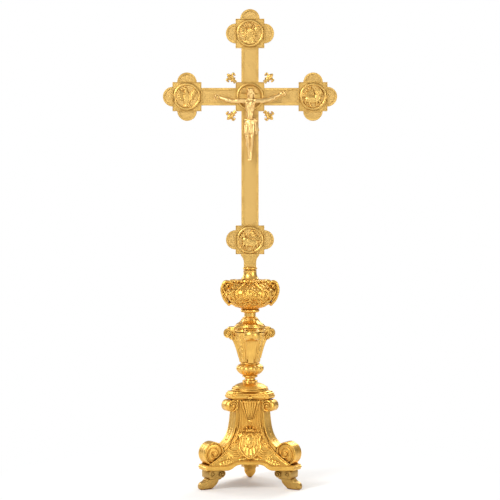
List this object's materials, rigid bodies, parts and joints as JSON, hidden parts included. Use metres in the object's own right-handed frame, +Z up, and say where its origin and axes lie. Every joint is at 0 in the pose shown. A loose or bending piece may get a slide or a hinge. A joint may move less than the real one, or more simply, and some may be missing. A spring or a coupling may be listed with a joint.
{
  "type": "altar crucifix",
  "caption": "Standing gilt altar crucifix: a medallioned Latin cross with corpus on a turned stem, knop, three-sided vase and scrolled tripod base.",
  "frame": {"origin": "on the table at the foot of the stem's axis, midway between the three feet's rings", "axes": "+X to the right of the cross as the corpus faces you, +Y to the rear, +Z up the stem"},
  "size_m": [0.273, 0.1472, 0.749],
  "materials": {
    "cross_brass": "gilt, satin with matt fields",
    "base_brass": "gilt, toned brown in the hollows",
    "foot_brass": "gilt, dull",
    "figure_brass": "gilt, polished",
    "steel": "bright zinc"
  },
  "bodies": {
    "root": {"bar_left": "cross_brass", "bar_right": "cross_brass", "bar_shaft": "cross_brass", "bar_top": "cross_brass", "base_dome": "base_brass", "base_nut": "steel", "base_washer": "steel", "cartouche_front": "base_brass", "cartouche_rear_left": "base_brass", "cartouche_rear_right": "base_brass", "centre_plate": "cross_brass", "collar": "base_brass", "corner_scroll_front_left": "base_brass", "corner_scroll_front_right": "base_brass", "corner_scroll_rear": "base_brass", "cornice": "base_brass", "cornice_dowels": "steel", "corpus_arm_left": "figure_brass", "corpus_arm_right": "figure_brass", "corpus_body": "figure_brass", "corpus_nails": "cross_brass", "cross_foot": "cross_brass", "cross_rivets": "cross_brass", "fan_front": "base_brass", "fan_rear_left": "base_brass", "fan_rear_right": "base_brass", "finial_bottom": "cross_brass", "finial_left": "cross_brass", "finial_right": "cross_brass", "finial_top": "cross_brass", "fleuron_bottom_left": "cross_brass", "fleuron_bottom_right": "cross_brass", "fleuron_top_left": "cross_brass", "fleuron_top_right": "cross_brass", "foot_dowels": "steel", "foot_front_left": "foot_brass", "foot_front_right": "foot_brass", "foot_rear": "foot_brass", "gadroon_bulb": "base_brass", "knop_lower": "base_brass", "knop_upper": "base_brass", "lower_neck": "base_brass", "medallion_bottom": "cross_brass", "medallion_left": "cross_brass", "medallion_right": "cross_brass", "medallion_top": "cross_brass", "nimbus": "cross_brass", "panel_front": "base_brass", "panel_rear_left": "base_brass", "panel_rear_right": "base_brass", "plinth_corner_front_left": "base_brass", "plinth_corner_front_right": "base_brass", "plinth_corner_rear": "base_brass", "plinth_rim_front": "base_brass", "plinth_rim_rear_left": "base_brass", "plinth_rim_rear_right": "base_brass", "tie_rod": "steel", "upper_neck": "base_brass", "vase_body": "base_brass", "vase_cap": "base_brass"}
  },
  "joints": []
}
